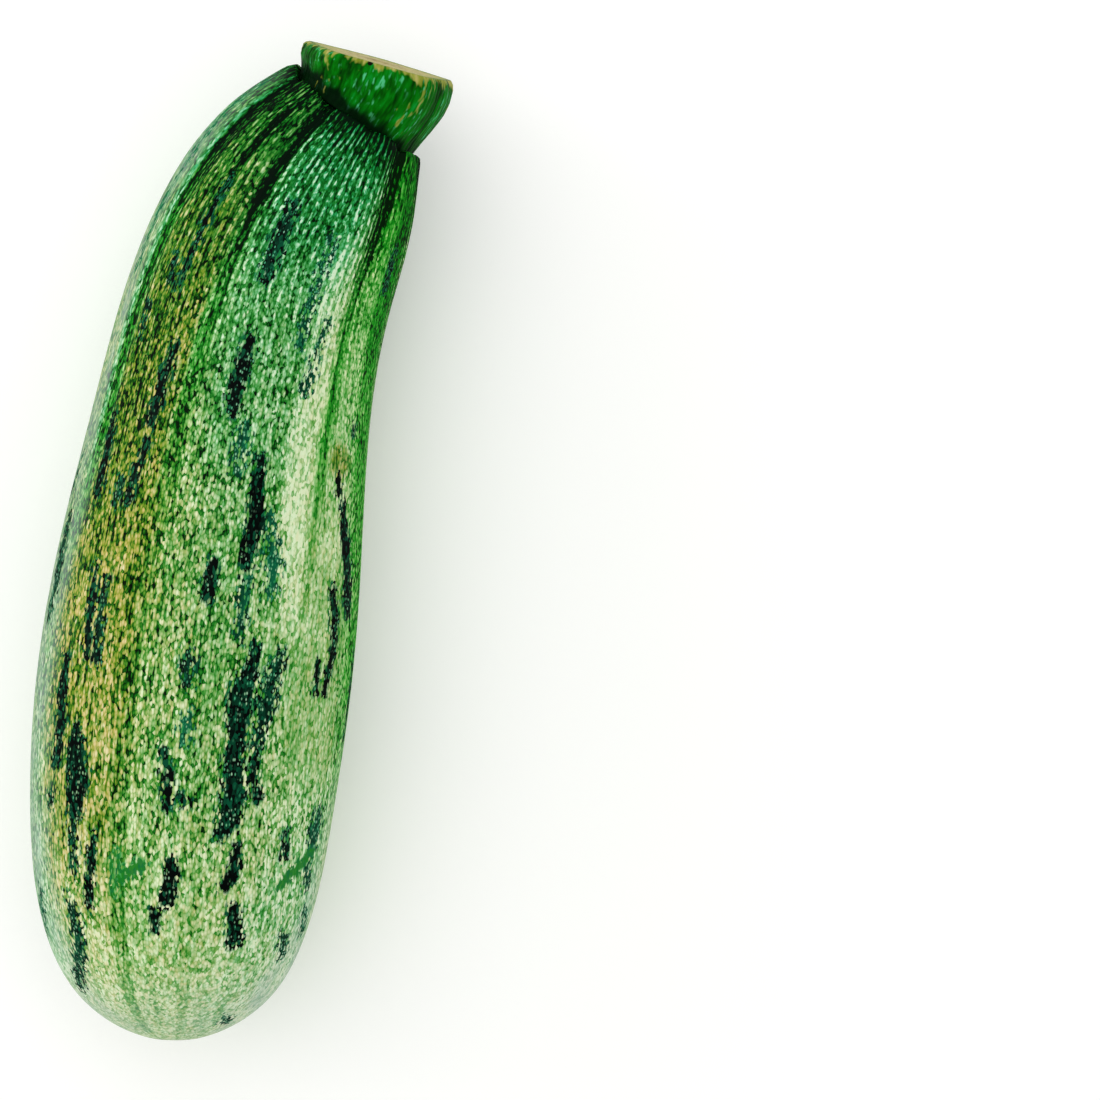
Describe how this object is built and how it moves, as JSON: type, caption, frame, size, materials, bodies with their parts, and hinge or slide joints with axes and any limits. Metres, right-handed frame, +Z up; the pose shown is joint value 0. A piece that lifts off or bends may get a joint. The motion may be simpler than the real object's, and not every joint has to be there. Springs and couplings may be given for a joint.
{
  "type": "zucchini",
  "caption": "Slightly bent striped zucchini with soft ribs at the neck and a cut stub of stem, lying on its side.",
  "frame": {"origin": "on the surface it lies on, under the middle of its bounding box", "axes": "+Y from the blossom end to the stem, +Z up, +X to the side that the neck bends to"},
  "size_m": [0.0649, 0.2029, 0.0602],
  "materials": {
    "skin": "satin",
    "stem": "matte"
  },
  "bodies": {
    "root": {"fruit": "skin", "stem": "stem"}
  },
  "joints": []
}
